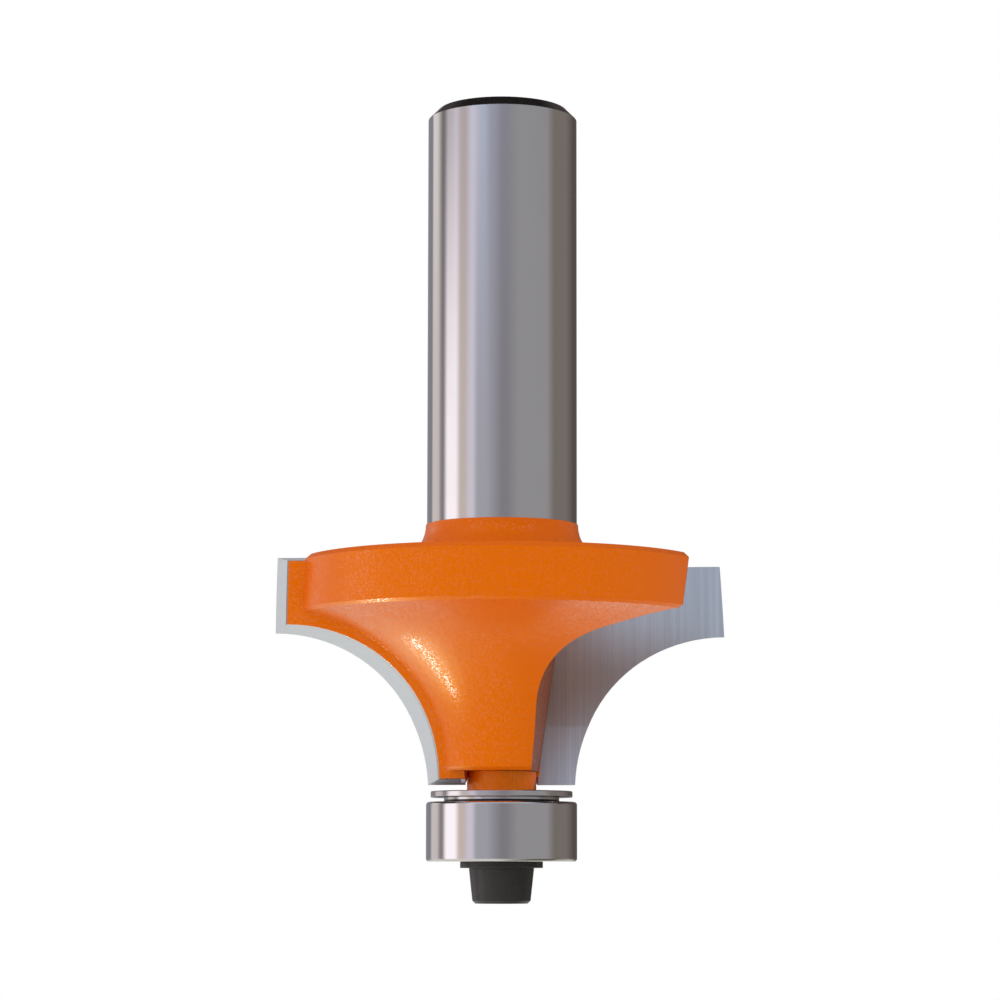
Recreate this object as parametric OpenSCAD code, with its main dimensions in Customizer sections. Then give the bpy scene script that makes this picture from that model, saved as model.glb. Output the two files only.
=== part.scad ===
// Round-over router bit: a turned body on a straight shank, two brazed tips,
// and a shielded ball bearing that guides the cut, held by a screw.
// The origin is on the axis where the bare shank meets the collar. +Z runs up the shank.

/* [Shank] */
// Diameter of the shank
shank_d = 12.7; // [11:0.1:12.8]
// Length of the bare shank above the collar
shank_len = 35.7; // [25:0.1:60]
// Width of the chamfer at the top of the shank
shank_chamfer = 0.85; // [0.2:0.05:1.5]

/* [Cutting profile] */
// Radius that the bit cuts
cove_r = 12.7; // [12:0.1:13.5]
// Height of the straight edge above the cove
straight_edge = 6.2; // [5.6:0.1:8]
// Thickness of a carbide tip
carbide_t = 2.3; // [1.5:0.1:2.4]
// Thickness of a tip with its steel backing
tooth_t = 2.6; // [2.5:0.1:3.2]
// Backward lean of the cutting face
shear_angle = 15; // [10:1:17]
// Forward turn of the cutting face
hook_turn = 2.9; // [1:0.1:5]
// Distance of the cutting face behind the axis, at its foot
hook_offset = 0.3; // [0.1:0.05:0.6]
// Relief behind the edge, sideways
relief_turn = 29; // [24:1:32]
// Relief behind the edge, upwards
relief_up = 23; // [15:1:24]
// Rise of the tip's top behind the edge
top_relief = 4; // [2:1:8]

/* [Body] */
// Height of the collar between shank and rim
collar_h = 3.05; // [2.5:0.05:4]
// How far the collar stands out of the shank
collar_step = 0.1; // [0.05:0.05:0.3]
// Diameter of the rim
rim_d = 34.7; // [33.5:0.1:35.5]
// Height of the rim's cylinder
rim_h = 4; // [3.4:0.1:4.8]
// Chamfer at the rim's top
rim_chamfer = 0.4; // [0.2:0.05:0.8]
// Chamfer at the rim's underside
under_chamfer = 0.3; // [0.2:0.02:0.8]
// Radius of the hollow under the rim
under_r = 15.1; // [14.5:0.1:17]
// Diameter of the body's foot
foot_d = 11; // [10:0.1:11.4]
// Height of the body's foot above the foot of the tips
foot_rise = 1.2; // [0.8:0.1:2]
// Rounding at the body's foot
foot_round = 0.25; // [0.1:0.05:0.4]
// Distance of the tips' top below the rim's top
tip_drop = 0.1; // [0.05:0.05:0.4]

/* [Gullets] */
// Radius of the milled corner of a gullet
gullet_r = 4.5; // [3.5:0.1:5.5]
// Depth of a gullet in front of the cutting face
gullet_depth = 12.4; // [11.5:0.1:13]
// Distance of the gullet's wall from the axis, at the foot of the tips
gullet_wall = 2.92; // [2.92:0.02:3.2]
// Distance of the backing's inner end from the axis, at the foot of the tips
backing_in = 2.6; // [2.4:0.05:3]
// Outward lean of the gullet's wall
gullet_lean = 6.5; // [4:0.5:9]
// Direction in which a gullet runs out through the rim
gullet_exit = 9; // [4:1:16]
// Height below the rim's top of the root that a gullet leaves round the collar
root_h = 6; // [4:0.1:8]

/* [Pilot] */
// Diameter of the neck under the body
neck_d = 5.84; // [5.3:0.02:6]
// Depth of the neck's shoulder below the foot of the tips
neck_drop = 0.45; // [0.2:0.05:1]
// Bore of the bearing
bore_d = 4.76; // [4.4:0.02:5]
// Clearance of the pilot in what it carries, on the radius
pilot_gap = 0.01; // [0.005:0.005:0.03]
// Thread diameter of the screw
screw_d = 3; // [2.5:0.1:3.2]
// Clearance round the screw's thread
thread_gap = 0.02; // [0.01:0.01:0.05]
// Length of the screw below its head
screw_len = 8; // [6:0.5:10]
// Depth of the tapped hole past the screw's end
hole_spare = 1.5; // [0.5:0.1:3]

/* [Dust shield] */
// Diameter of the dust shield
dust_d = 11.94; // [11:0.02:12.4]
// Thickness of the dust shield's plate
dust_t = 0.52; // [0.4:0.02:0.8]
// Diameter of the dust shield's step
dust_step_d = 9.7; // [8:0.1:9.9]
// Height of the dust shield's step
dust_step_h = 0.38; // [0.25:0.01:0.6]
// Chamfer round the dust shield
dust_chamfer = 0.06; // [0.05:0.01:0.15]

/* [Bearing] */
// Outside diameter of the bearing
bearing_d = 12.7; // [12.5:0.05:13.2]
// Width of the bearing
bearing_w = 4.98; // [4.8:0.02:6]
// Rounding at the outer ring's corners
ring_round = 0.25; // [0.1:0.05:0.4]
// Rounding at the inner ring's corners
inner_round = 0.12; // [0.05:0.01:0.15]
// Number of balls
ball_count = 7; // [7:1:7]
// Diameter of a ball
ball_d = 2.38; // [2.3:0.02:2.44]
// Radius of the groove that the balls run in
groove_r = 1.24; // [1.23:0.01:1.3]
// Running gap between ball and groove
ball_gap = 0.02; // [0.01:0.01:0.05]
// Depth of the grooves below the lands
groove_depth = 0.46; // [0.3:0.02:0.5]
// Depth of the step that holds a shield
shield_depth = 0.45; // [0.4:0.01:0.5]
// Width of the ledge that a shield rests on
shield_ledge = 0.38; // [0.3:0.02:0.42]
// Thickness of a shield
shield_t = 0.2; // [0.1:0.01:0.2]
// How far a shield is dished outwards
shield_dish = 0.12; // [0.05:0.01:0.15]
// Gap between a shield and the inner ring
shield_gap = 0.1; // [0.05:0.01:0.2]
// Thickness of a snap ring
snap_t = 0.14; // [0.08:0.01:0.14]
// Opening of a snap ring, in degrees
snap_open = 30; // [15:1:60]
// Thickness of the cage's sheet
cage_t = 0.22; // [0.15:0.01:0.3]
// Gap between the cage and the balls
cage_gap = 0.05; // [0.03:0.01:0.08]
// Gap between the cage and the rings
cage_side_gap = 0.2; // [0.1:0.02:0.3]

/* [Washer and screw] */
// Diameter of the flat washer
washer_d = 6.96; // [6:0.02:7.1]
// Thickness of the flat washer
washer_t = 0.55; // [0.4:0.01:0.8]
// Chamfer round the flat washer
washer_chamfer = 0.05; // [0.03:0.01:0.1]
// Diameter of the screw's head where it meets the washer
head_d = 5.46; // [5:0.02:6]
// Height of the straight band at the head's root
head_band = 0.12; // [0.05:0.01:0.4]
// Diameter of the head at its end
head_end_d = 4.9; // [4.4:0.02:5]
// Height of the screw's head
head_h = 2.96; // [2.6:0.02:3.6]
// Chamfer at the head's end
head_chamfer = 0.24; // [0.1:0.02:0.4]
// Width across the flats of the socket
socket_w = 2.5; // [2:0.1:2.6]
// Depth of the socket
socket_depth = 1.6; // [1:0.1:1.7]
// Chamfer at the socket's mouth
socket_chamfer = 0.12; // [0.05:0.01:0.2]

/* [Hidden] */

$fn = 96;
// A cut runs this far past the face that it opens
over = 1;
// Longer than anything that the tips are cut from
reach = 40;

// Radii that follow from the sizes above
shank_r = shank_d / 2;
rim_r = rim_d / 2;
foot_r = foot_d / 2;
neck_r = neck_d / 2;
bore_r = bore_d / 2;
ring_r = bearing_d / 2;
cut_r = ring_r + cove_r;
pilot_r = bore_r - pilot_gap;
ball_r = ball_d / 2;

// Heights, from the collar's top downwards
rim_z = -collar_h;
rim_low_z = rim_z - rim_chamfer - rim_h;
under_z = rim_low_z - under_chamfer;
tip_top_z = rim_z - tip_drop;
tip_foot_z = tip_top_z - straight_edge - cove_r;
foot_z = tip_foot_z + foot_rise;
shoulder_z = tip_foot_z - neck_drop;
bearing_top_z = shoulder_z - dust_t - dust_step_h;
bearing_z = bearing_top_z - bearing_w / 2;
bearing_low_z = bearing_top_z - bearing_w;
// The pilot ends short of the washer, so the screw clamps the inner ring
clamp_gap = 0.3;
pilot_end_z = bearing_low_z + clamp_gap;
head_z = bearing_low_z - washer_t;
hole_end_z = head_z + screw_len + hole_spare;

// Centre of the hollow under the rim, which cuts a hair into the chamfer and ends at the body's foot
under_end = [rim_r - under_chamfer, under_z];
under_out = under_end + [0, 0.02];
under_in = [foot_r, foot_z];
under_chord = norm(under_out - under_in);
under_mid = (under_out + under_in) / 2;
under_side = sqrt(pow(under_r, 2) - pow(under_chord / 2, 2)) / under_chord;
under_c = under_mid + under_side * [under_out[1] - under_in[1], under_in[0] - under_out[0]];

// Bearing radii, from the circle that the balls' centres lie on
pitch_r = (bore_r + ring_r) / 2;
inner_land_r = pitch_r - ball_r - ball_gap + groove_depth;
outer_land_r = pitch_r + ball_r + ball_gap - groove_depth;
inner_groove_c = pitch_r - ball_r - ball_gap + groove_r;
outer_groove_c = pitch_r + ball_r + ball_gap - groove_r;
recess_r = outer_land_r + shield_ledge;
snap_groove = 0.12;
snap_play = 0.02;
shield_play = 0.01;
pocket_r = ball_r + cage_gap;

// Place along the cutting face of the point at radius r and slope distance w
function edge_t(r, w) =
    let (back = w * sin(shear_angle), turned = hook_offset * sin(hook_turn),
        rest = pow(back, 2) + pow(hook_offset, 2)
            + 2 * hook_offset * back * cos(hook_turn) - pow(r, 2))
    turned + sqrt(pow(turned, 2) - rest);

// Slope distance up the cutting face of the height h above the tips' foot
function slope(h) = h / cos(shear_angle);

// A point of the cutting face, seen along the relief
function relief_point(t, w) =
    [t * cos(relief_turn),
        w * cos(relief_up) + t * sin(relief_turn) * sin(relief_up)];

// The cutting edge, from the foot of the cove to above the straight edge
cove_steps = 24;
straight_steps = 4;
edge_heights = [
    for (i = [0:cove_steps]) cove_r * sin(90 * i / cove_steps),
    for (i = [1:straight_steps + 1]) cove_r + straight_edge * i / straight_steps];
function edge_r(h) = h < cove_r ? cut_r - sqrt(pow(cove_r, 2) - pow(h, 2)) : cut_r;
edge_points = [for (h = edge_heights) relief_point(edge_t(edge_r(h), slope(h)), slope(h))];
edge_top = slope(edge_heights[len(edge_heights) - 1]);

// The frame of the cutting face: x outwards along it, z up its slope, y into the backing
module on_cutting_face() {
    translate([0, hook_offset, tip_foot_z])
        rotate([0, 0, -hook_turn])
            rotate([-shear_angle, 0, 0])
                children();
}

// What lies inside the ground relief behind one cutting edge
module relief_blank() {
    rotate([90 + relief_up, 0, relief_turn])
        linear_extrude(height = reach, center = true)
            polygon(concat([relief_point(-foot_r, 0)], edge_points,
                [relief_point(-foot_r, edge_top)]));
}

// A slice of the tooth between two depths behind the cutting face, from inner_end outwards
module tooth(front, back, inner_end) {
    on_cutting_face()
        intersection() {
            relief_blank();
            translate([0, front, -over])
                cube([reach, back - front, reach]);
            translate([0, 0, slope(cove_r + straight_edge)])
                rotate([top_relief, 0, 0])
                    translate([0, -over, -reach])
                        cube([reach, reach, reach]);
            rotate([0, gullet_lean, 0])
                translate([inner_end, -over, -reach / 2])
                    cube([reach, reach, 2 * reach]);
        }
}
// The seat starts a hair outside the gullet's wall
seat_x = gullet_wall + 0.02;

// The pocket that the tip is brazed into
module tip_seat() {
    intersection() {
        on_cutting_face()
            rotate([0, gullet_lean, 0])
                translate([seat_x, -over, -reach / 2])
                    cube([reach, carbide_t + over, 2 * reach]);
        translate([-reach, -reach, rim_z - 2 * reach])
            cube([2 * reach, 2 * reach, 2 * reach]);
    }
}

// The outline of a gullet, seen along its milling direction, in front of the cutting face
gullet_c = [gullet_wall + gullet_r, gullet_r - gullet_depth];
gullet_steps = 10;
gullet_turn = 90 + gullet_exit;
gullet_arc = [for (i = [0:gullet_steps])
    let (a = 180 + gullet_turn * i / gullet_steps) gullet_c + gullet_r * [cos(a), sin(a)]];
gullet_out = gullet_arc[gullet_steps] + reach * [cos(gullet_exit), sin(gullet_exit)];

// One gullet. It leaves a tapering root round the collar.
module gullet() {
    difference() {
        on_cutting_face()
            rotate([0, gullet_lean, 0])
                translate([0, 0, -reach / 4])
                    linear_extrude(height = reach)
                        polygon(concat([[gullet_wall, 0]], gullet_arc,
                            [gullet_out, [gullet_out[0], 0]]));
        translate([0, 0, rim_z - root_h])
            cylinder(h = root_h, r1 = gullet_wall, r2 = root_r);
        translate([0, 0, rim_z])
            cylinder(h = reach, r = root_r);
    }
}
// Radius of the root round the collar
root_r = shank_r + collar_step + 0.5;

// Half section of the turned body: collar, rim and hollow underside
module body_section() {
    collar_r = shank_r + collar_step;
    difference() {
        polygon([[0, foot_z], [foot_r - foot_round, foot_z], [foot_r, foot_z + foot_round],
            under_end, [rim_r, rim_low_z], [rim_r, rim_z - rim_chamfer],
            [rim_r - rim_chamfer, rim_z], [collar_r + collar_h, rim_z],
            [collar_r, 0], [0, 0]]);
        translate(under_c)
            circle(r = under_r);
        translate([collar_r + collar_h, 0])
            circle(r = collar_h);
    }
}

// The turned and milled body with its shank, backings and pilot, all one piece of steel
module tool_body() {
    color([0.86, 0.42, 0.08])
        difference() {
            union() {
                difference() {
                    union() {
                        rotate_extrude()
                            body_section();
                        for (a = [0, 180])
                            rotate([0, 0, a])
                                tooth(carbide_t, tooth_t, backing_in);
                    }
                    for (a = [0, 180])
                        rotate([0, 0, a]) {
                            gullet();
                            tip_seat();
                        }
                }
                cylinder(h = shank_len - shank_chamfer, r = shank_r);
                translate([0, 0, shank_len - shank_chamfer])
                    cylinder(h = shank_chamfer, r1 = shank_r, r2 = shank_r - shank_chamfer);
                translate([0, 0, shoulder_z])
                    cylinder(h = foot_z + over - shoulder_z, r = neck_r);
                translate([0, 0, pilot_end_z])
                    cylinder(h = shoulder_z + over - pilot_end_z, r = pilot_r);
            }
            translate([0, 0, pilot_end_z - over])
                cylinder(h = hole_end_z - pilot_end_z + over, r = screw_d / 2 + thread_gap);
        }
}

// A carbide tip, ground to the cutting profile and brazed in its seat
module carbide_tip(turn) {
    color([0.72, 0.74, 0.78])
        rotate([0, 0, turn])
            tooth(0, carbide_t, seat_x);
}
module carbide_tip_1() { carbide_tip(0); }
module carbide_tip_2() { carbide_tip(180); }

// The stepped washer that keeps dust out of the bearing
module dust_shield() {
    dust_r = dust_d / 2;
    color([0.75, 0.74, 0.74])
        translate([0, 0, bearing_top_z])
            rotate_extrude()
                polygon([[bore_r, 0], [dust_step_d / 2, 0], [dust_step_d / 2, dust_step_h],
                    [dust_r - dust_chamfer, dust_step_h], [dust_r, dust_step_h + dust_chamfer],
                    [dust_r, dust_step_h + dust_t - dust_chamfer],
                    [dust_r - dust_chamfer, dust_step_h + dust_t], [bore_r, dust_step_h + dust_t]]);
}

// What a rounding takes off the outer corner of a ring's half section, above (1) or below (-1)
module round_corner(corner, side, r) {
    translate(corner)
        difference() {
            square(2 * r, center = true);
            translate([-r, -side * r])
                circle(r = r);
        }
}

// Half section of the bearing's outer ring
module outer_ring_section() {
    half_w = bearing_w / 2;
    difference() {
        translate([outer_land_r, -half_w])
            square([ring_r - outer_land_r, bearing_w]);
        translate([outer_groove_c, 0])
            circle(r = groove_r);
        for (side = [-1, 1]) {
            translate([0, side * half_w])
                square([2 * recess_r, 2 * shield_depth], center = true);
            translate([0, side * (half_w - shield_depth + shield_t + snap_t / 2 + snap_play)])
                square([2 * (recess_r + snap_groove), snap_t + 2 * snap_play], center = true);
            round_corner([ring_r, side * half_w], side, ring_round);
        }
    }
}
module bearing_outer_ring() {
    color([0.72, 0.72, 0.73])
        translate([0, 0, bearing_z])
            rotate_extrude()
                outer_ring_section();
}

// The bearing's inner ring, clamped on the pilot
module bearing_inner_ring() {
    color([0.7, 0.7, 0.72])
        translate([0, 0, bearing_z])
            rotate_extrude()
                difference() {
                    translate([bore_r, -bearing_w / 2])
                        square([inner_land_r - bore_r, bearing_w]);
                    translate([inner_groove_c, 0])
                        circle(r = groove_r);
                    for (side = [-1, 1])
                        round_corner([inner_land_r, side * bearing_w / 2], side, inner_round);
                }
}

// A thin dished shield in the outer ring, above (1) or below (-1) the balls
module bearing_shield(side) {
    inner_r = inner_land_r + shield_gap;
    flange_r = outer_land_r - shield_play;
    dish_r = flange_r - shield_dish;
    rim_end_r = recess_r - shield_play;
    seat_h = bearing_w / 2 - shield_depth;
    color([0.6, 0.6, 0.62])
        translate([0, 0, bearing_z])
            mirror([0, 0, side > 0 ? 0 : 1])
                rotate_extrude()
                    translate([0, seat_h])
                        polygon([[inner_r, shield_dish], [dish_r, shield_dish], [flange_r, 0],
                            [rim_end_r, 0], [rim_end_r, shield_t], [flange_r, shield_t],
                            [dish_r, shield_dish + shield_t], [inner_r, shield_dish + shield_t]]);
}
module bearing_shield_upper() { bearing_shield(1); }
module bearing_shield_lower() { bearing_shield(-1); }

// The open ring that holds a shield in its step
module shield_snap_ring(side) {
    snap_z = bearing_w / 2 - shield_depth + shield_t + snap_play + snap_t / 2;
    color([0.5, 0.5, 0.52])
        translate([0, 0, bearing_z + side * snap_z])
            rotate([0, 0, snap_open / 2])
                rotate_extrude(angle = 360 - snap_open)
                    translate([outer_land_r + snap_play, -snap_t / 2])
                        square([shield_ledge + snap_groove - 2 * snap_play, snap_t]);
}
module shield_snap_ring_upper() { shield_snap_ring(1); }
module shield_snap_ring_lower() { shield_snap_ring(-1); }

// Half of the pressed cage: a flat ring with a domed pocket over each ball
module bearing_cage(side) {
    dome_r = pocket_r + cage_t;
    ring_in = inner_land_r + cage_side_gap;
    ring_out = outer_land_r - cage_side_gap;
    color([0.74, 0.66, 0.45])
        translate([0, 0, bearing_z])
            mirror([0, 0, side > 0 ? 0 : 1])
                difference() {
                    intersection() {
                        difference() {
                            cylinder(h = dome_r, r = ring_out);
                            translate([0, 0, -over])
                                cylinder(h = dome_r + 2 * over, r = ring_in);
                        }
                        union() {
                            cylinder(h = cage_t, r = ring_out + over);
                            for (i = [0:ball_count - 1])
                                rotate([0, 0, 360 * i / ball_count])
                                    translate([pitch_r, 0, 0])
                                        sphere(r = dome_r);
                        }
                    }
                    for (i = [0:ball_count - 1])
                        rotate([0, 0, 360 * i / ball_count])
                            translate([pitch_r, 0, 0])
                                sphere(r = pocket_r);
                }
}
module bearing_cage_upper() { bearing_cage(1); }
module bearing_cage_lower() { bearing_cage(-1); }

// One ball, by its number round the bearing
module ball(number) {
    color([0.8, 0.8, 0.82])
        rotate([0, 0, 360 * (number - 1) / ball_count])
            translate([pitch_r, 0, bearing_z])
                sphere(r = ball_r);
}

// The flat washer that clamps the inner ring
module flat_washer() {
    washer_r = washer_d / 2;
    hole_r = screw_d / 2 + thread_gap;
    color([0.2, 0.2, 0.2])
        translate([0, 0, head_z])
            rotate_extrude()
                polygon([[hole_r, 0], [washer_r - washer_chamfer, 0], [washer_r, washer_chamfer],
                    [washer_r, washer_t - washer_chamfer], [washer_r - washer_chamfer, washer_t],
                    [hole_r, washer_t]]);
}

// The tapered socket-head screw
module retaining_screw() {
    head_r = head_d / 2;
    end_r = head_end_d / 2;
    low_z = head_z - head_h;
    socket_r = socket_w / 2 / cos(30);
    // The drill's point at the bottom of the socket, and where its cone starts below that
    drill_point = 0.45;
    drill_over = 0.15;
    color([0.22, 0.22, 0.22])
        difference() {
            union() {
                translate([0, 0, head_z - head_band])
                    cylinder(h = head_band, r = head_r);
                translate([0, 0, low_z + head_chamfer])
                    cylinder(h = head_h - head_band - head_chamfer, r1 = end_r, r2 = head_r);
                translate([0, 0, low_z])
                    cylinder(h = head_chamfer, r1 = end_r - head_chamfer, r2 = end_r);
                translate([0, 0, head_z - head_band])
                    cylinder(h = screw_len + head_band, r = screw_d / 2);
            }
            translate([0, 0, low_z - over])
                cylinder(h = socket_depth + over, r = socket_r, $fn = 6);
            translate([0, 0, low_z + socket_depth - drill_over])
                cylinder(h = drill_point + drill_over, r1 = socket_w / 2, r2 = 0);
            translate([0, 0, low_z - over])
                cylinder(h = over + socket_chamfer, r1 = socket_r + over, r2 = socket_r - socket_chamfer);
        }
}

tool_body();
carbide_tip_1();
carbide_tip_2();
dust_shield();
bearing_outer_ring();
bearing_inner_ring();
bearing_shield_upper();
bearing_shield_lower();
shield_snap_ring_upper();
shield_snap_ring_lower();
bearing_cage_upper();
bearing_cage_lower();
ball(1);  // bearing_ball_1
ball(2);  // bearing_ball_2
ball(3);  // bearing_ball_3
ball(4);  // bearing_ball_4
ball(5);  // bearing_ball_5
ball(6);  // bearing_ball_6
ball(7);  // bearing_ball_7
flat_washer();
retaining_screw();
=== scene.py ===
# Looks for the round-over router bit: finishes, braze, studio and camera.
# Everything is in metres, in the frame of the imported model.
import math
import bpy
from mathutils import Matrix, Vector


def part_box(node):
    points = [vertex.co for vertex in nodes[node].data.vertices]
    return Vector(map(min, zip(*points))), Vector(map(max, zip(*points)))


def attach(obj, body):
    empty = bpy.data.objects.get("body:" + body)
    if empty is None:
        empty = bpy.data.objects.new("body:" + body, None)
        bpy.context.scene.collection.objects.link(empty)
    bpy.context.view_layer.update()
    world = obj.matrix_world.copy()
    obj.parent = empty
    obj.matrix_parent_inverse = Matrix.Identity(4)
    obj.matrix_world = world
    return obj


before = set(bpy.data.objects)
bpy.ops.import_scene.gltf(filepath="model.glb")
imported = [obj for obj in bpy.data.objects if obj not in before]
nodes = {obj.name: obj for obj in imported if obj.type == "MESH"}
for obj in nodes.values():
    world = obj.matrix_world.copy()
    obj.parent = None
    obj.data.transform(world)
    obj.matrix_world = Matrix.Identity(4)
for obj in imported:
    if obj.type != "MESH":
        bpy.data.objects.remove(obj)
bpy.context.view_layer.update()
print("frame loaded:", len(nodes), "nodes")


# small helpers for node trees: an input takes either another node's socket or a value
def setInputs(tree, node, inputs):
    for name, value in inputs.items():
        if isinstance(value, bpy.types.NodeSocket):
            tree.links.new(value, node.inputs[name])
        else:
            node.inputs[name].default_value = value


def addNode(tree, kind, inputs=None, **settings):
    node = tree.nodes.new(kind)
    for name, value in settings.items():
        setattr(node, name, value)
    setInputs(tree, node, inputs or {})
    return node


def mathNode(tree, operation, first, second=0.0, third=0.0):
    return addNode(tree, "ShaderNodeMath", {0: first, 1: second, 2: third}, operation=operation).outputs[0]


def vectorNode(tree, operation, first, second):
    return addNode(tree, "ShaderNodeVectorMath", {0: first, 1: second}, operation=operation).outputs["Vector"]


def dotNode(tree, first, second):
    node = addNode(tree, "ShaderNodeVectorMath", {0: first, 1: second}, operation="DOT_PRODUCT")
    return node.outputs["Value"]


def partsOf(tree, vector):
    return addNode(tree, "ShaderNodeSeparateXYZ", {"Vector": vector}).outputs


def above(tree, value, limit):
    return mathNode(tree, "GREATER_THAN", value, limit)


def below(tree, value, limit):
    return mathNode(tree, "LESS_THAN", value, limit)


# where all of several masks hold
def allOf(tree, first, *others):
    for mask in others:
        first = mathNode(tree, "MULTIPLY", first, mask)
    return first


# where one or more of several masks hold
def anyOf(tree, first, *others):
    for mask in others:
        first = mathNode(tree, "MAXIMUM", first, mask)
    return first


def rampNode(tree, factor, stops):
    node = addNode(tree, "ShaderNodeValToRGB", {"Fac": factor})
    ramp = node.color_ramp
    while len(ramp.elements) < len(stops):
        ramp.elements.new(0.5)
    for element, (place, colour) in zip(ramp.elements, stops):
        element.position = place
        element.color = (*colour, 1)
    return node.outputs["Color"]


def greyRamp(tree, factor, *stops):
    return rampNode(tree, factor, [(place, (value, value, value)) for place, value in stops])


# two colours mixed, which a Mix node takes in its sockets 6 and 7
def mixColour(tree, factor, first, second):
    ends = [end if isinstance(end, bpy.types.NodeSocket) else (*end, 1) for end in (first, second)]
    return addNode(tree, "ShaderNodeMix", {0: factor, 6: ends[0], 7: ends[1]}, data_type="RGBA").outputs[2]


def dulled(colour, share):
    return tuple(part * share for part in colour)


# a value that runs between two limits while the given one runs from 0 to 1
def stretched(tree, limits, value):
    node = addNode(tree, "ShaderNodeMapRange", {"Value": value, "To Min": limits[0], "To Max": limits[1]})
    return node.outputs["Result"]


def newMaterial(name):
    material = bpy.data.materials.new(name)
    material.use_nodes = True
    tree = material.node_tree
    tree.nodes.clear()
    shader = addNode(tree, "ShaderNodeBsdfPrincipled")
    addNode(tree, "ShaderNodeOutputMaterial", {"Surface": shader.outputs["BSDF"]})
    return material, tree, shader


def showSurface(tree, surface):
    setInputs(tree, tree.get_output_node("ALL"), {"Surface": surface})


def objectPlace(tree, scale=(1, 1, 1)):
    place = addNode(tree, "ShaderNodeTexCoord").outputs["Object"]
    return addNode(tree, "ShaderNodeMapping", {"Vector": place, "Scale": scale}).outputs["Vector"]


def radiusAt(tree, place):
    flat = vectorNode(tree, "MULTIPLY", place, (1, 1, 0))
    return addNode(tree, "ShaderNodeVectorMath", {0: flat}, operation="LENGTH").outputs["Value"]


def noise(tree, vector, scale, detail=2.0, roughness=0.5):
    node = addNode(tree, "ShaderNodeTexNoise", {"Vector": vector, "Scale": scale, "Detail": detail,
                                                "Roughness": roughness})
    return node.outputs["Fac"]


def bumpFrom(tree, height, strength, distance, before):
    return addNode(tree, "ShaderNodeBump", {"Height": height, "Strength": strength, "Distance": distance,
                                            "Normal": before}).outputs["Normal"]


edgeSamples = 4


# light on edges that are broken by a stone, too fine to model
def brokenEdges(tree, radius):
    return addNode(tree, "ShaderNodeBevel", {"Radius": radius}, samples=edgeSamples).outputs["Normal"]


steelLook = {
    "colour": (0.60, 0.585, 0.58),
    "dull": 0.86,
    "clouds": (0.0, 0.22),
    "cloudScale": 260,
    "roughness": (0.09, 0.23),
    "anisotropy": 0.75,
    "scratchesRound": 0.8,
    "scratchesUp": 9000,
    "scratchStrength": 0.35,
    "speckleScale": 6000,
    "speckleFlat": 0.6,
    "speckleStrength": 0.12,
    "grindingDepth": 0.0000012,
    "quarterTurn": 0.25,
    "edge": 0.00006,
}


# coordinates for scratches that run round the axis: the angle, the radius and the height
def scratchPlace(tree):
    place = addNode(tree, "ShaderNodeTexCoord").outputs["Object"]
    parts = partsOf(tree, place)
    angle = mathNode(tree, "ARCTAN2", parts["Y"], parts["X"])
    return addNode(tree, "ShaderNodeCombineXYZ", {
        "X": mathNode(tree, "MULTIPLY", angle, steelLook["scratchesRound"]),
        "Y": mathNode(tree, "MULTIPLY", radiusAt(tree, place), steelLook["scratchesUp"]),
        "Z": mathNode(tree, "MULTIPLY", parts["Z"], steelLook["scratchesUp"])}).outputs[0]


# ground steel, with its scratches running round the axis
def groundSteel(tree, shader, look):
    scratches = noise(tree, scratchPlace(tree), 1.0, detail=4, roughness=0.65)
    cloud = noise(tree, objectPlace(tree), steelLook["cloudScale"], detail=3)
    speckle = noise(tree, objectPlace(tree, (1, 1, steelLook["speckleFlat"])), steelLook["speckleScale"])
    scratched = bumpFrom(tree, scratches, steelLook["scratchStrength"], steelLook["grindingDepth"],
                         brokenEdges(tree, steelLook["edge"]))
    setInputs(tree, shader, {
        "Base Color": mixColour(tree, stretched(tree, steelLook["clouds"], cloud), look["colour"],
                                dulled(look["colour"], steelLook["dull"])),
        "Roughness": stretched(tree, look["roughness"], mathNode(tree, "MULTIPLY", scratches, cloud)),
        "Normal": bumpFrom(tree, speckle, steelLook["speckleStrength"], steelLook["grindingDepth"],
                           scratched),
        "Tangent": addNode(tree, "ShaderNodeTangent", direction_type="RADIAL", axis="Z").outputs[0],
        "Metallic": 1.0,
        "Anisotropic": look["anisotropy"],
        "Anisotropic Rotation": steelLook["quarterTurn"]})


# the cutting face as in the model, for the ground strip behind a tip and the gullet in front of it,
# with its angles in degrees; the gullet's colours here are painted shade, with a grey-brown painted
# reflection on its far side
faceLook = {
    "hookTurn": 2.9,
    "hookOffset": 0.0003,
    "shear": 15,
    "lean": 6.5,
    "foot": -0.02205,
    "wall": 0.00292,
    "wallReach": 0.00005,
    "faceReach": 0.0001,
    "bareFrom": 0.00227,
    "bareTo": 0.00258,
    "bareBelow": -0.0036,
    "bareOutside": 0.0033,
    # painted shade: the gullet's wall and far side are darkened, the far side grey-brown as a painted
    # reflection, and it grows darker towards the gullet's foot
    "wallShadeColour": (0.22, 0.034, 0.001),
    "wallTurned": 0.8,
    "gulletShadeColour": (0.42, 0.30, 0.25),
    "gulletTurned": 0.15,
    "gulletShadeShare": 0.85,
    "deepToneAndShadeColour": (0.07, 0.045, 0.035),
    "shadeDeepFrom": -0.009,
    "shadeDeepTo": -0.013,
}


# a vector as seen from the nearer tip, as if that were the one towards +X
def seenFromTip(tree, vector, place):
    side = mathNode(tree, "SIGN", partsOf(tree, place)["X"])
    parts = partsOf(tree, vector)
    return addNode(tree, "ShaderNodeCombineXYZ", {
        "X": mathNode(tree, "MULTIPLY", parts["X"], side),
        "Y": mathNode(tree, "MULTIPLY", parts["Y"], side),
        "Z": parts["Z"]}).outputs[0]


def normalFromTip(tree, place):
    return seenFromTip(tree, addNode(tree, "ShaderNodeNewGeometry").outputs["True Normal"], place)


def faceAngles():
    return [math.radians(faceLook[name]) for name in ("hookTurn", "shear", "lean")]


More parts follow.
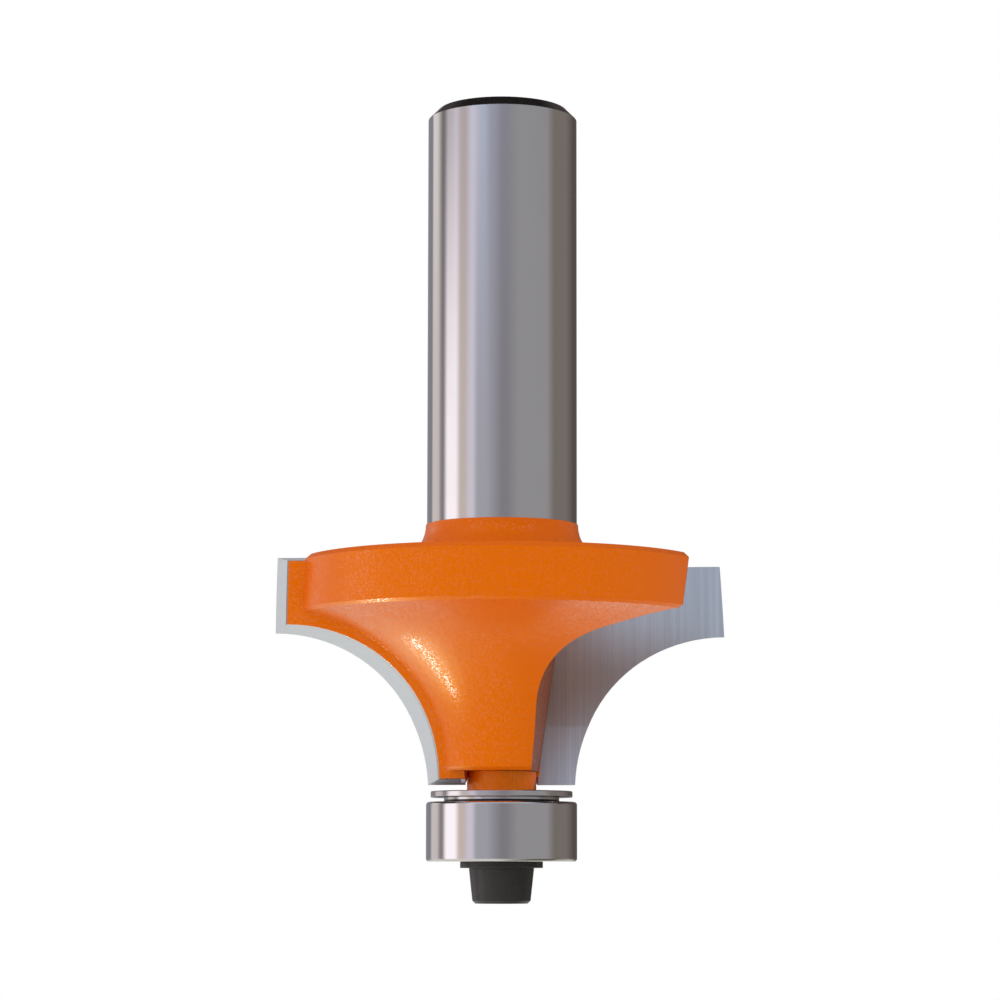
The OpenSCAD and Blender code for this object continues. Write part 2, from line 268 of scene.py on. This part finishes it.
# the directions into the cutting face and outwards along it
def faceDirections():
    hook, shear, lean = faceAngles()
    inward = (math.sin(hook) * math.cos(shear), math.cos(hook) * math.cos(shear), -math.sin(shear))
    outward = (math.cos(lean) * math.cos(hook) - math.sin(lean) * math.sin(shear) * math.sin(hook),
               -math.cos(lean) * math.sin(hook) - math.sin(lean) * math.sin(shear) * math.cos(hook),
               -math.sin(lean) * math.cos(shear))
    return inward, outward


# a point measured from the foot of the nearer cutting face
def fromFaceFoot(tree, place):
    foot = (0, faceLook["hookOffset"], faceLook["foot"])
    return vectorNode(tree, "SUBTRACT", seenFromTip(tree, place, place), foot)


# how far a point lies behind the nearer cutting face
def depthBehindFace(tree, place):
    return dotNode(tree, fromFaceFoot(tree, place), faceDirections()[0])


# where a surface is a gullet's wall, and where it faces the tip from the gullet's other side: the places that
# get painted shade
def insideGullet(tree, place, height):
    inward, outward = faceDirections()
    normal = normalFromTip(tree, place)
    depth = depthBehindFace(tree, place)
    nearWall = mathNode(tree, "COMPARE", dotNode(tree, fromFaceFoot(tree, place), outward),
                        faceLook["wall"], faceLook["wallReach"])
    sideways = anyOf(tree, above(tree, dotNode(tree, normal, outward), faceLook["wallTurned"]),
                     above(tree, depth, -faceLook["faceReach"]))
    facing = above(tree, dotNode(tree, normal, inward), faceLook["gulletTurned"])
    inFront = allOf(tree, below(tree, height, faceLook["bareBelow"]),
                    below(tree, depth, faceLook["faceReach"]))
    return allOf(tree, inFront, nearWall, sideways), allOf(tree, inFront, facing)


coatLook = {
    "colour": (0.77, 0.122, 0.0002),
    "deepToneAndShadeColour": (0.71, 0.106, 0.0002),
    "clouds": (0.0, 0.6),
    "cloudScale": 180,
    "roughness": (0.35, 0.46),
    "specular": 0.5,
    "mirrorTint": (1.0, 0.92, 0.04),
    "peelSize": 0.00021,
    "peelStrength": 0.5,
    "peelDepth": 0.0000085,
    "gloss": 0.7,
    "glossRoughness": 0.17,
    "speckSize": 0.00017,
    "speckFrom": (0.53, 0.56),
    "speckDepth": 0.000007,
    "edge": 0.00008,
    "coatFrom": 0.00002,
    # painted light: the neck's coating is made brighter to make up for the shade it sits in
    "neckPaintedLightColour": (1.0, 0.17, 0.004),
    "neckBelow": -0.02087,
    "neckRadius": 0.00294,
    "stubBelow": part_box("dust_shield")[1][2] + 0.00003,  # the pilot's stub, just above the dust shield
}


# the coating's colour, with painted light that brightens the neck and painted shade that darkens the gullets
def coatColour(tree, place, height, radius, cloud):
    wall, gullet = [mathNode(tree, "MULTIPLY", part, faceLook["gulletShadeShare"])
                    for part in insideGullet(tree, place, height)]
    # painted light on the neck
    neck = allOf(tree, below(tree, height, coatLook["neckBelow"]),
                 below(tree, radius, coatLook["neckRadius"]))
    # painted shade that grows darker further down the gullet
    deepShade = addNode(tree, "ShaderNodeMapRange", {"Value": height, "From Min": faceLook["shadeDeepFrom"],
                                                "From Max": faceLook["shadeDeepTo"]}).outputs["Result"]
    coat = mixColour(tree, stretched(tree, coatLook["clouds"], cloud), coatLook["colour"],
                     coatLook["deepToneAndShadeColour"])
    coat = mixColour(tree, neck, coat, coatLook["neckPaintedLightColour"])
    coat = mixColour(tree, wall, coat, faceLook["wallShadeColour"])
    gulletShadeColour = mixColour(tree, deepShade, faceLook["gulletShadeColour"], faceLook["deepToneAndShadeColour"])
    return mixColour(tree, gullet, coat, gulletShadeColour)


# where the body is bare steel: shank, pilot stub, and the ground strip behind each tip
def bareSteel(tree, place, height, radius):
    depth = depthBehindFace(tree, place)
    strip = allOf(tree, above(tree, depth, faceLook["bareFrom"]), below(tree, depth, faceLook["bareTo"]),
                  below(tree, height, faceLook["bareBelow"]), above(tree, radius, faceLook["bareOutside"]))
    return anyOf(tree, above(tree, height, coatLook["coatFrom"]),
                 below(tree, height, coatLook["stubBelow"]), strip)


# the body's finish: satin orange coating below the collar's top, ground steel above it
def coatedBody():
    material, tree, shader = newMaterial("coatedBody")
    place = objectPlace(tree)
    height = partsOf(tree, place)["Z"]
    radius = radiusAt(tree, place)
    cloud = noise(tree, place, coatLook["cloudScale"], detail=3)
    peel = noise(tree, place, 1 / coatLook["peelSize"], detail=2.5, roughness=0.6)
    specks = noise(tree, place, 1 / coatLook["speckSize"], detail=1.5)
    speckStart, speckFull = coatLook["speckFrom"]
    edge = brokenEdges(tree, coatLook["edge"])
    setInputs(tree, shader, {
        "Base Color": coatColour(tree, place, height, radius, cloud),
        "Roughness": stretched(tree, coatLook["roughness"], cloud),
        "Normal": bumpFrom(tree, peel, coatLook["peelStrength"], coatLook["peelDepth"], edge),
        "Specular IOR Level": coatLook["specular"],
        "Specular Tint": (*coatLook["mirrorTint"], 1),
        "Coat Weight": greyRamp(tree, specks, (speckStart, 0), (speckFull, coatLook["gloss"])),
        "Coat Roughness": coatLook["glossRoughness"],
        "Coat Normal": bumpFrom(tree, specks, 1.0, coatLook["speckDepth"], edge)})
    steel = addNode(tree, "ShaderNodeBsdfPrincipled")
    groundSteel(tree, steel, steelLook)
    showSurface(tree, addNode(tree, "ShaderNodeMixShader", {
        0: bareSteel(tree, place, height, radius), 1: shader.outputs[0], 2: steel.outputs[0]}).outputs[0])
    return material


carbideLook = {
    "colour": (0.62, 0.645, 0.685),
    "dull": 0.78,
    "clouds": (0.0, 0.5),
    "cloudScale": 1600,
    "cloudStretch": 0.008,
    "roughness": (0.34, 0.52),
    "metal": 0.92,
    "lineColour": (0.2, 0.2, 0.21),
    "lineShare": ((0.4, 0.2), (0.6, 0.0)),
    "lineSize": 0.00011,
    "lineStretch": 0.003,
    "lineStrength": 0.4,
    "lineDepth": 0.0000014,
    "grainScale": 16000,
    "grainStrength": 0.1,
    "reliefFrom": -0.9,
    "reliefColour": (0.55, 0.575, 0.60),
    "reliefMetal": 0.15,
    "edge": 0.00003,
}


# ground carbide: the wheel's fine lines on the cutting face, duller on the relief behind the edge
def groundCarbide():
    material, tree, shader = newMaterial("groundCarbide")
    place = objectPlace(tree)
    lines = noise(tree, objectPlace(tree, (1, 0, carbideLook["lineStretch"])), 1 / carbideLook["lineSize"],
                  detail=3, roughness=0.7)
    cloud = noise(tree, objectPlace(tree, (1, 0, carbideLook["cloudStretch"])), carbideLook["cloudScale"])
    grain = noise(tree, place, carbideLook["grainScale"], detail=1)
    relief = above(tree, dotNode(tree, normalFromTip(tree, place), faceDirections()[0]),
                   carbideLook["reliefFrom"])
    face = mixColour(tree, stretched(tree, carbideLook["clouds"], cloud), carbideLook["colour"],
                     dulled(carbideLook["colour"], carbideLook["dull"]))
    face = mixColour(tree, greyRamp(tree, lines, *carbideLook["lineShare"]), face, carbideLook["lineColour"])
    lined = bumpFrom(tree, lines, carbideLook["lineStrength"], carbideLook["lineDepth"],
                     brokenEdges(tree, carbideLook["edge"]))
    setInputs(tree, shader, {
        "Base Color": mixColour(tree, relief, face, carbideLook["reliefColour"]),
        "Roughness": stretched(tree, carbideLook["roughness"], cloud),
        "Metallic": stretched(tree, (carbideLook["metal"], carbideLook["reliefMetal"]), relief),
        "Normal": bumpFrom(tree, grain, carbideLook["grainStrength"], carbideLook["lineDepth"], lined)})
    return material


turnedLooks = {
    "bearingSteel": {"colour": (0.60, 0.585, 0.585), "roughness": (0.09, 0.23), "anisotropy": 0.6},
    "dustShieldSteel": {"colour": (0.58, 0.56, 0.56), "roughness": (0.15, 0.29), "anisotropy": 0.6,
                        # painted shade: a dark band at the boss's foot, just above the bearing
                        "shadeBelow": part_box("bearing_outer_ring")[1][2] + 0.00018,
                        "shadeColour": (0.03, 0.028, 0.028)},
    "shieldSheet": {"colour": (0.5, 0.49, 0.49), "roughness": (0.21, 0.35), "anisotropy": 0.4},
    "cageSheet": {"colour": (0.56, 0.53, 0.48), "roughness": (0.23, 0.37), "anisotropy": 0.2},
    "springWire": {"colour": (0.42, 0.41, 0.41), "roughness": (0.19, 0.33), "anisotropy": 0.4},
}


def turnedSteel(name):
    material, tree, shader = newMaterial(name)
    look = turnedLooks[name]
    groundSteel(tree, shader, look)
    if "shadeBelow" in look:  # painted shade: a dark band at the foot of the boss, just above the bearing, where shade falls between the parts
        steel = shader.inputs["Base Color"].links[0].from_socket
        shadedBand = below(tree, partsOf(tree, objectPlace(tree))["Z"], look["shadeBelow"])
        setInputs(tree, shader, {"Base Color": mixColour(tree, shadedBand, steel, look["shadeColour"])})
    return material


oxideLook = {
    "colour": (0.020, 0.0195, 0.019),
    "wornColour": (0.042, 0.039, 0.037),
    "cloudScale": 700,
    "roughness": (0.28, 0.46),
    "metal": 0.4,
    "grainSize": 0.00012,
    "grainStrength": 0.2,
    "grainDepth": 0.000002,
    "edge": 0.00003,
}


# black oxide on turned steel
def blackOxide(name):
    material, tree, shader = newMaterial(name)
    cloud = noise(tree, objectPlace(tree), oxideLook["cloudScale"], detail=4, roughness=0.6)
    grain = noise(tree, objectPlace(tree), 1 / oxideLook["grainSize"])
    setInputs(tree, shader, {
        "Base Color": mixColour(tree, cloud, oxideLook["colour"], oxideLook["wornColour"]),
        "Roughness": stretched(tree, oxideLook["roughness"], grain),
        "Metallic": oxideLook["metal"],
        "Normal": bumpFrom(tree, grain, oxideLook["grainStrength"], oxideLook["grainDepth"],
                           brokenEdges(tree, oxideLook["edge"]))})
    return material


ballLook = {
    "colour": (0.70, 0.70, 0.72),
    "hazeColour": (0.62, 0.62, 0.64),
    "hazeScale": 3000,
    "roughness": (0.04, 0.1),
}


def polishedBall():
    material, tree, shader = newMaterial("polishedBall")
    haze = noise(tree, objectPlace(tree), ballLook["hazeScale"])
    setInputs(tree, shader, {
        "Base Color": mixColour(tree, haze, ballLook["colour"], ballLook["hazeColour"]),
        "Roughness": stretched(tree, ballLook["roughness"], haze),
        "Metallic": 1.0})
    return material


bodyFinish = coatedBody()
carbideFinish = groundCarbide()
bearingFinish = turnedSteel("bearingSteel")
sheetFinish = turnedSteel("shieldSheet")
cageFinish = turnedSteel("cageSheet")
springFinish = turnedSteel("springWire")
ballFinish = polishedBall()

finishOfNode = {
    "tool_body": bodyFinish,
    "carbide_tip_1": carbideFinish,
    "carbide_tip_2": carbideFinish,
    "dust_shield": turnedSteel("dustShieldSteel"),
    "bearing_outer_ring": bearingFinish,
    "bearing_inner_ring": bearingFinish,
    "bearing_shield_upper": sheetFinish,
    "bearing_shield_lower": sheetFinish,
    "shield_snap_ring_upper": springFinish,
    "shield_snap_ring_lower": springFinish,
    "bearing_cage_upper": cageFinish,
    "bearing_cage_lower": cageFinish,
    "flat_washer": blackOxide("blackWasher"),
    "retaining_screw": blackOxide("blackScrew"),
}
for name, node in nodes.items():  # every node that isn't named above is one of the balls
    node.data.materials.clear()
    node.data.materials.append(finishOfNode.get(name, ballFinish))
print("finishes made for", len(nodes), "nodes")

# the braze between the neck and a tip's inner end, measured from the foot of the cutting face
brazeLook = {
    "from": (0.00262, 0.00012, 0.00112),
    "to": (0.00299, 0.00244, 0.0021),
    "cuts": 3,
    "drawnIn": 0.00004,
    "round": 0.00005,
    "roundSteps": 2,
    "smoothBelow": 30,
}


# a coated braze fillet at the tip towards +X
def brazeFillet(name):
    low, high = Vector(brazeLook["from"]), Vector(brazeLook["to"])
    bpy.ops.object.select_all(action="DESELECT")
    bpy.ops.mesh.primitive_cube_add(size=1, location=(low + high) / 2, scale=high - low)
    fillet = bpy.context.object
    fillet.name = name
    bpy.ops.object.transform_apply(location=True, rotation=True, scale=True)
    bpy.ops.object.mode_set(mode="EDIT")
    bpy.ops.mesh.select_all(action="SELECT")
    bpy.ops.mesh.subdivide(number_cuts=brazeLook["cuts"])
    bpy.ops.mesh.select_all(action="DESELECT")
    bpy.ops.object.mode_set(mode="OBJECT")
    for face in fillet.data.polygons:  # the foot's side, which draws in as braze does
        face.select = face.normal.z < -0.9
    bpy.ops.object.mode_set(mode="EDIT")
    bpy.ops.mesh.inset(thickness=brazeLook["drawnIn"], use_even_offset=True)
    bpy.ops.transform.translate(value=(0, 0, brazeLook["drawnIn"]))
    bpy.ops.object.mode_set(mode="OBJECT")
    rounding = fillet.modifiers.new("rounding", "BEVEL")
    rounding.width = brazeLook["round"]
    rounding.segments = brazeLook["roundSteps"]
    bpy.ops.object.modifier_apply(modifier=rounding.name)
    hook, shear, lean = faceAngles()
    fillet.matrix_world = (
        Matrix.Translation((0, faceLook["hookOffset"], faceLook["foot"])) @ Matrix.Rotation(-hook, 4, "Z")
        @ Matrix.Rotation(-shear, 4, "X") @ Matrix.Rotation(lean, 4, "Y"))
    bpy.ops.object.transform_apply(location=True, rotation=True, scale=True)
    bpy.ops.object.shade_smooth_by_angle(angle=math.radians(brazeLook["smoothBelow"]))
    fillet.data.materials.clear()
    fillet.data.materials.append(bodyFinish)
    return fillet


# the same fillet at the other tip, with its own mesh
def acrossTheAxis(piece, name):
    bpy.ops.object.select_all(action="DESELECT")
    other = piece.copy()
    other.data = piece.data.copy()
    other.name = name
    bpy.context.scene.collection.objects.link(other)
    other.select_set(True)
    bpy.context.view_layer.objects.active = other
    other.rotation_euler = (0, 0, math.pi)
    bpy.ops.object.transform_apply(location=True, rotation=True, scale=True)
    return other


firstFillet = brazeFillet("brazeFilletOne")
for fillet in (firstFillet, acrossTheAxis(firstFillet, "brazeFilletTwo")):
    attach(fillet, "tool")
print("braze fillets modelled")

studio = {
    "floorDepth": 0.25,
    "floorSize": 6.0,
    "floorColour": (0.98, 0.98, 0.98),
    "floorRoughness": 0.9,
    "floorWhite": 0.7,
    "plainLevel": 1.0,
    "fromLeft": 0.24,
    # panels that bright metal mirrors, round the horizon and above it: from and to, in degrees from
    # the front with left negative, and their light; the room between them runs from one to the next
    "panels": [(-180, -137, (0.30, 0.30, 0.33)), (-130, -113, (0.88, 0.80, 0.79)),
               (-105, -99, (0.36, 0.33, 0.34)), (-91, -73, (1.66, 1.56, 1.64)),
               (-65, -56, (0.88, 0.75, 0.70)), (-50, -43, (0.94, 0.90, 1.02)),
               (-36, -20, (0.54, 0.54, 0.61)), (2, 10, (0.33, 0.32, 0.35)),
               (28, 76, (0.44, 0.44, 0.455)), (90, 118, (0.28, 0.245, 0.225)),
               (146, 180, (0.12, 0.10, 0.09))],
    "upperPanels": [(-180, -137, (0.30, 0.30, 0.34)), (-131, -119, (1.05, 1.0, 0.98)),
                    (-105, -98, (0.26, 0.23, 0.23)), (-88, -84, (0.52, 0.48, 0.54)),
                    (-74, -70, (0.70, 0.66, 0.74)), (-60, -56, (0.66, 0.58, 0.58)),
                    (-46, -38, (0.90, 0.90, 1.10)), (-30, -26, (0.70, 0.78, 1.0)),
                    (-15, -10, (0.49, 0.52, 0.66)), (2, 10, (0.385, 0.39, 0.47)),
                    (28, 76, (0.42, 0.42, 0.44)), (90, 118, (0.28, 0.245, 0.225)),
                    (146, 180, (0.12, 0.10, 0.09))],
    # what is mirrored higher up and lower down, each between two heights of a unit direction
    "upperFrom": (0.15, 0.25),
    "ceilingFrom": (0.34, 0.46),
    "upperLight": (0.84, 0.95, 1.12),
    "upperSides": (50, 80),
    "room": (0.06, 0.05, 0.05),
    "ground": (0.95, 0.94, 0.88),
    "groundFrom": (0.12, 0.4),
    "groundSides": (-10, 60, 110, 160),
    "groundRight": (0.16, 0.15, 0.10),
    "overhead": (0.015, 0.012, 0.012),
    "overheadFrom": (0.64, 0.82),
    "sparkWatts": 0.2,
    "sparkSize": (0.15, 0.01),
    "sparkPlace": (-0.1238, 0.0285, -0.1693),
    "sparkAim": (-0.005, -0.0077, -0.0125),
}


# what the metal mirrors from a direction: banded panels, the ceiling's light, and the ground
def mirroredStudio(tree, parts):
    behind = mathNode(tree, "MULTIPLY", parts["Y"], -1.0)
    turn = mathNode(tree, "ARCTAN2", parts["X"], behind)
    place = mathNode(tree, "MULTIPLY_ADD", turn, 1 / (2 * math.pi), 0.5)
    height = parts["Z"]
    down = mathNode(tree, "MULTIPLY", height, -1.0)

    def around(degrees):
        return 0.5 + degrees / 360

    def panelRing(panels):
        stops = [(around(side), light) for start, end, light in panels for side in (start, end)]
        return rampNode(tree, place, stops)

    def risen(name, value):
        start, full = studio[name]
        return greyRamp(tree, value, (start, 0), (full, 1))

    near, far = studio["upperSides"]
    front = greyRamp(tree, place, (around(-far), 0), (around(-near), 1), (around(near), 1), (around(far), 0))
    right = greyRamp(tree, place, *zip([around(side) for side in studio["groundSides"]], (0, 1, 1, 0)))
    mirrored = mixColour(tree, risen("upperFrom", height), panelRing(studio["panels"]),
                         panelRing(studio["upperPanels"]))
    ceiling = mixColour(tree, front, studio["room"], studio["upperLight"])
    mirrored = mixColour(tree, risen("ceilingFrom", height), mirrored, ceiling)
    mirrored = mixColour(tree, risen("overheadFrom", height), mirrored, studio["overhead"])
    ground = mixColour(tree, right, studio["ground"], studio["groundRight"])
    return mixColour(tree, risen("groundFrom", down), mirrored, ground)


# plain soft light for the surfaces, the banded studio for what they mirror, white for the camera
def makeWorld():
    world = bpy.data.worlds.new("studioWorld")
    bpy.context.scene.world = world
    world.use_nodes = True
    tree = world.node_tree
    tree.nodes.clear()
    parts = partsOf(tree, addNode(tree, "ShaderNodeTexCoord").outputs["Generated"])
    path = addNode(tree, "ShaderNodeLightPath")
    plain = mathNode(tree, "MULTIPLY_ADD", parts["X"], -studio["fromLeft"], studio["plainLevel"])
    seen = mixColour(tree, path.outputs["Is Glossy Ray"], plain, mirroredStudio(tree, parts))
    shown = mixColour(tree, path.outputs["Is Camera Ray"], seen, (1, 1, 1))
    background = addNode(tree, "ShaderNodeBackground", {"Color": shown, "Strength": 1.0})
    addNode(tree, "ShaderNodeOutputWorld", {"Surface": background.outputs[0]})


# a plain pale floor well below the bit, white to the camera and still shaded by the bit
def makeFloor():
    bpy.ops.object.select_all(action="DESELECT")
    bpy.ops.mesh.primitive_plane_add(size=studio["floorSize"], location=(0, 0, -studio["floorDepth"]))
    floor = bpy.context.object
    floor.name = "studioFloor"
    material, tree, shader = newMaterial("paleFloor")
    setInputs(tree, shader, {"Base Color": (*studio["floorColour"], 1),
                             "Roughness": studio["floorRoughness"]})
    white = addNode(tree, "ShaderNodeEmission", {"Color": (1, 1, 1, 1), "Strength": 1.0})
    clear = addNode(tree, "ShaderNodeBsdfTransparent")
    path = addNode(tree, "ShaderNodeLightPath")
    share = mathNode(tree, "MULTIPLY", path.outputs["Is Camera Ray"], studio["floorWhite"])
    pale = addNode(tree, "ShaderNodeMixShader", {0: share, 1: shader.outputs[0], 2: white.outputs[0]})
    showSurface(tree, addNode(tree, "ShaderNodeMixShader", {
        0: path.outputs["Is Glossy Ray"], 1: pale.outputs[0], 2: clear.outputs[0]}).outputs[0])
    floor.data.materials.append(material)


# a strip lamp that only makes the coating sparkle
def makeSparkLamp():
    data = bpy.data.lights.new("sparkLamp", "AREA")
    data.shape = "RECTANGLE"
    data.size, data.size_y = studio["sparkSize"]
    data.energy = studio["sparkWatts"]
    lamp = bpy.data.objects.new("sparkLamp", data)
    bpy.context.scene.collection.objects.link(lamp)
    aim = Vector(studio["sparkAim"]) - Vector(studio["sparkPlace"])
    lamp.location = studio["sparkPlace"]
    lamp.rotation_euler = aim.to_track_quat("-Z", "Y").to_euler()
    lamp.visible_camera = False
    lamp.visible_diffuse = False
    lit = bpy.data.collections.new("sparkLampLights")
    lit.objects.link(nodes["tool_body"])
    lamp.light_linking.receiver_collection = lit


makeWorld()
makeFloor()
makeSparkLamp()
print("studio ready")

# the photograph's view: angles in degrees, lens and sensor in millimetres, shifts in picture widths
view = {
    "eye": (0.01217, -0.26037, -0.02851),
    "turnLeft": 1.781,
    "lookUp": 5.233,
    "lens": 111.265,
    "sensor": 36,
    "shiftRight": -0.05,
    "shiftUp": 0.08,
    "nearest": 0.01,
    "farthest": 20,
}


def makeCamera():
    data = bpy.data.cameras.new("photoCamera")
    data.lens = view["lens"]
    data.sensor_width = view["sensor"]
    data.shift_x = view["shiftRight"]
    data.shift_y = view["shiftUp"]
    data.clip_start = view["nearest"]
    data.clip_end = view["farthest"]
    camera = bpy.data.objects.new("photoCamera", data)
    bpy.context.scene.collection.objects.link(camera)
    camera.location = view["eye"]
    camera.rotation_euler = (math.radians(90 + view["lookUp"]), 0, math.radians(view["turnLeft"]))
    bpy.context.scene.camera = camera


makeCamera()
bpy.context.scene.view_settings.view_transform = "Standard"
print("camera set")
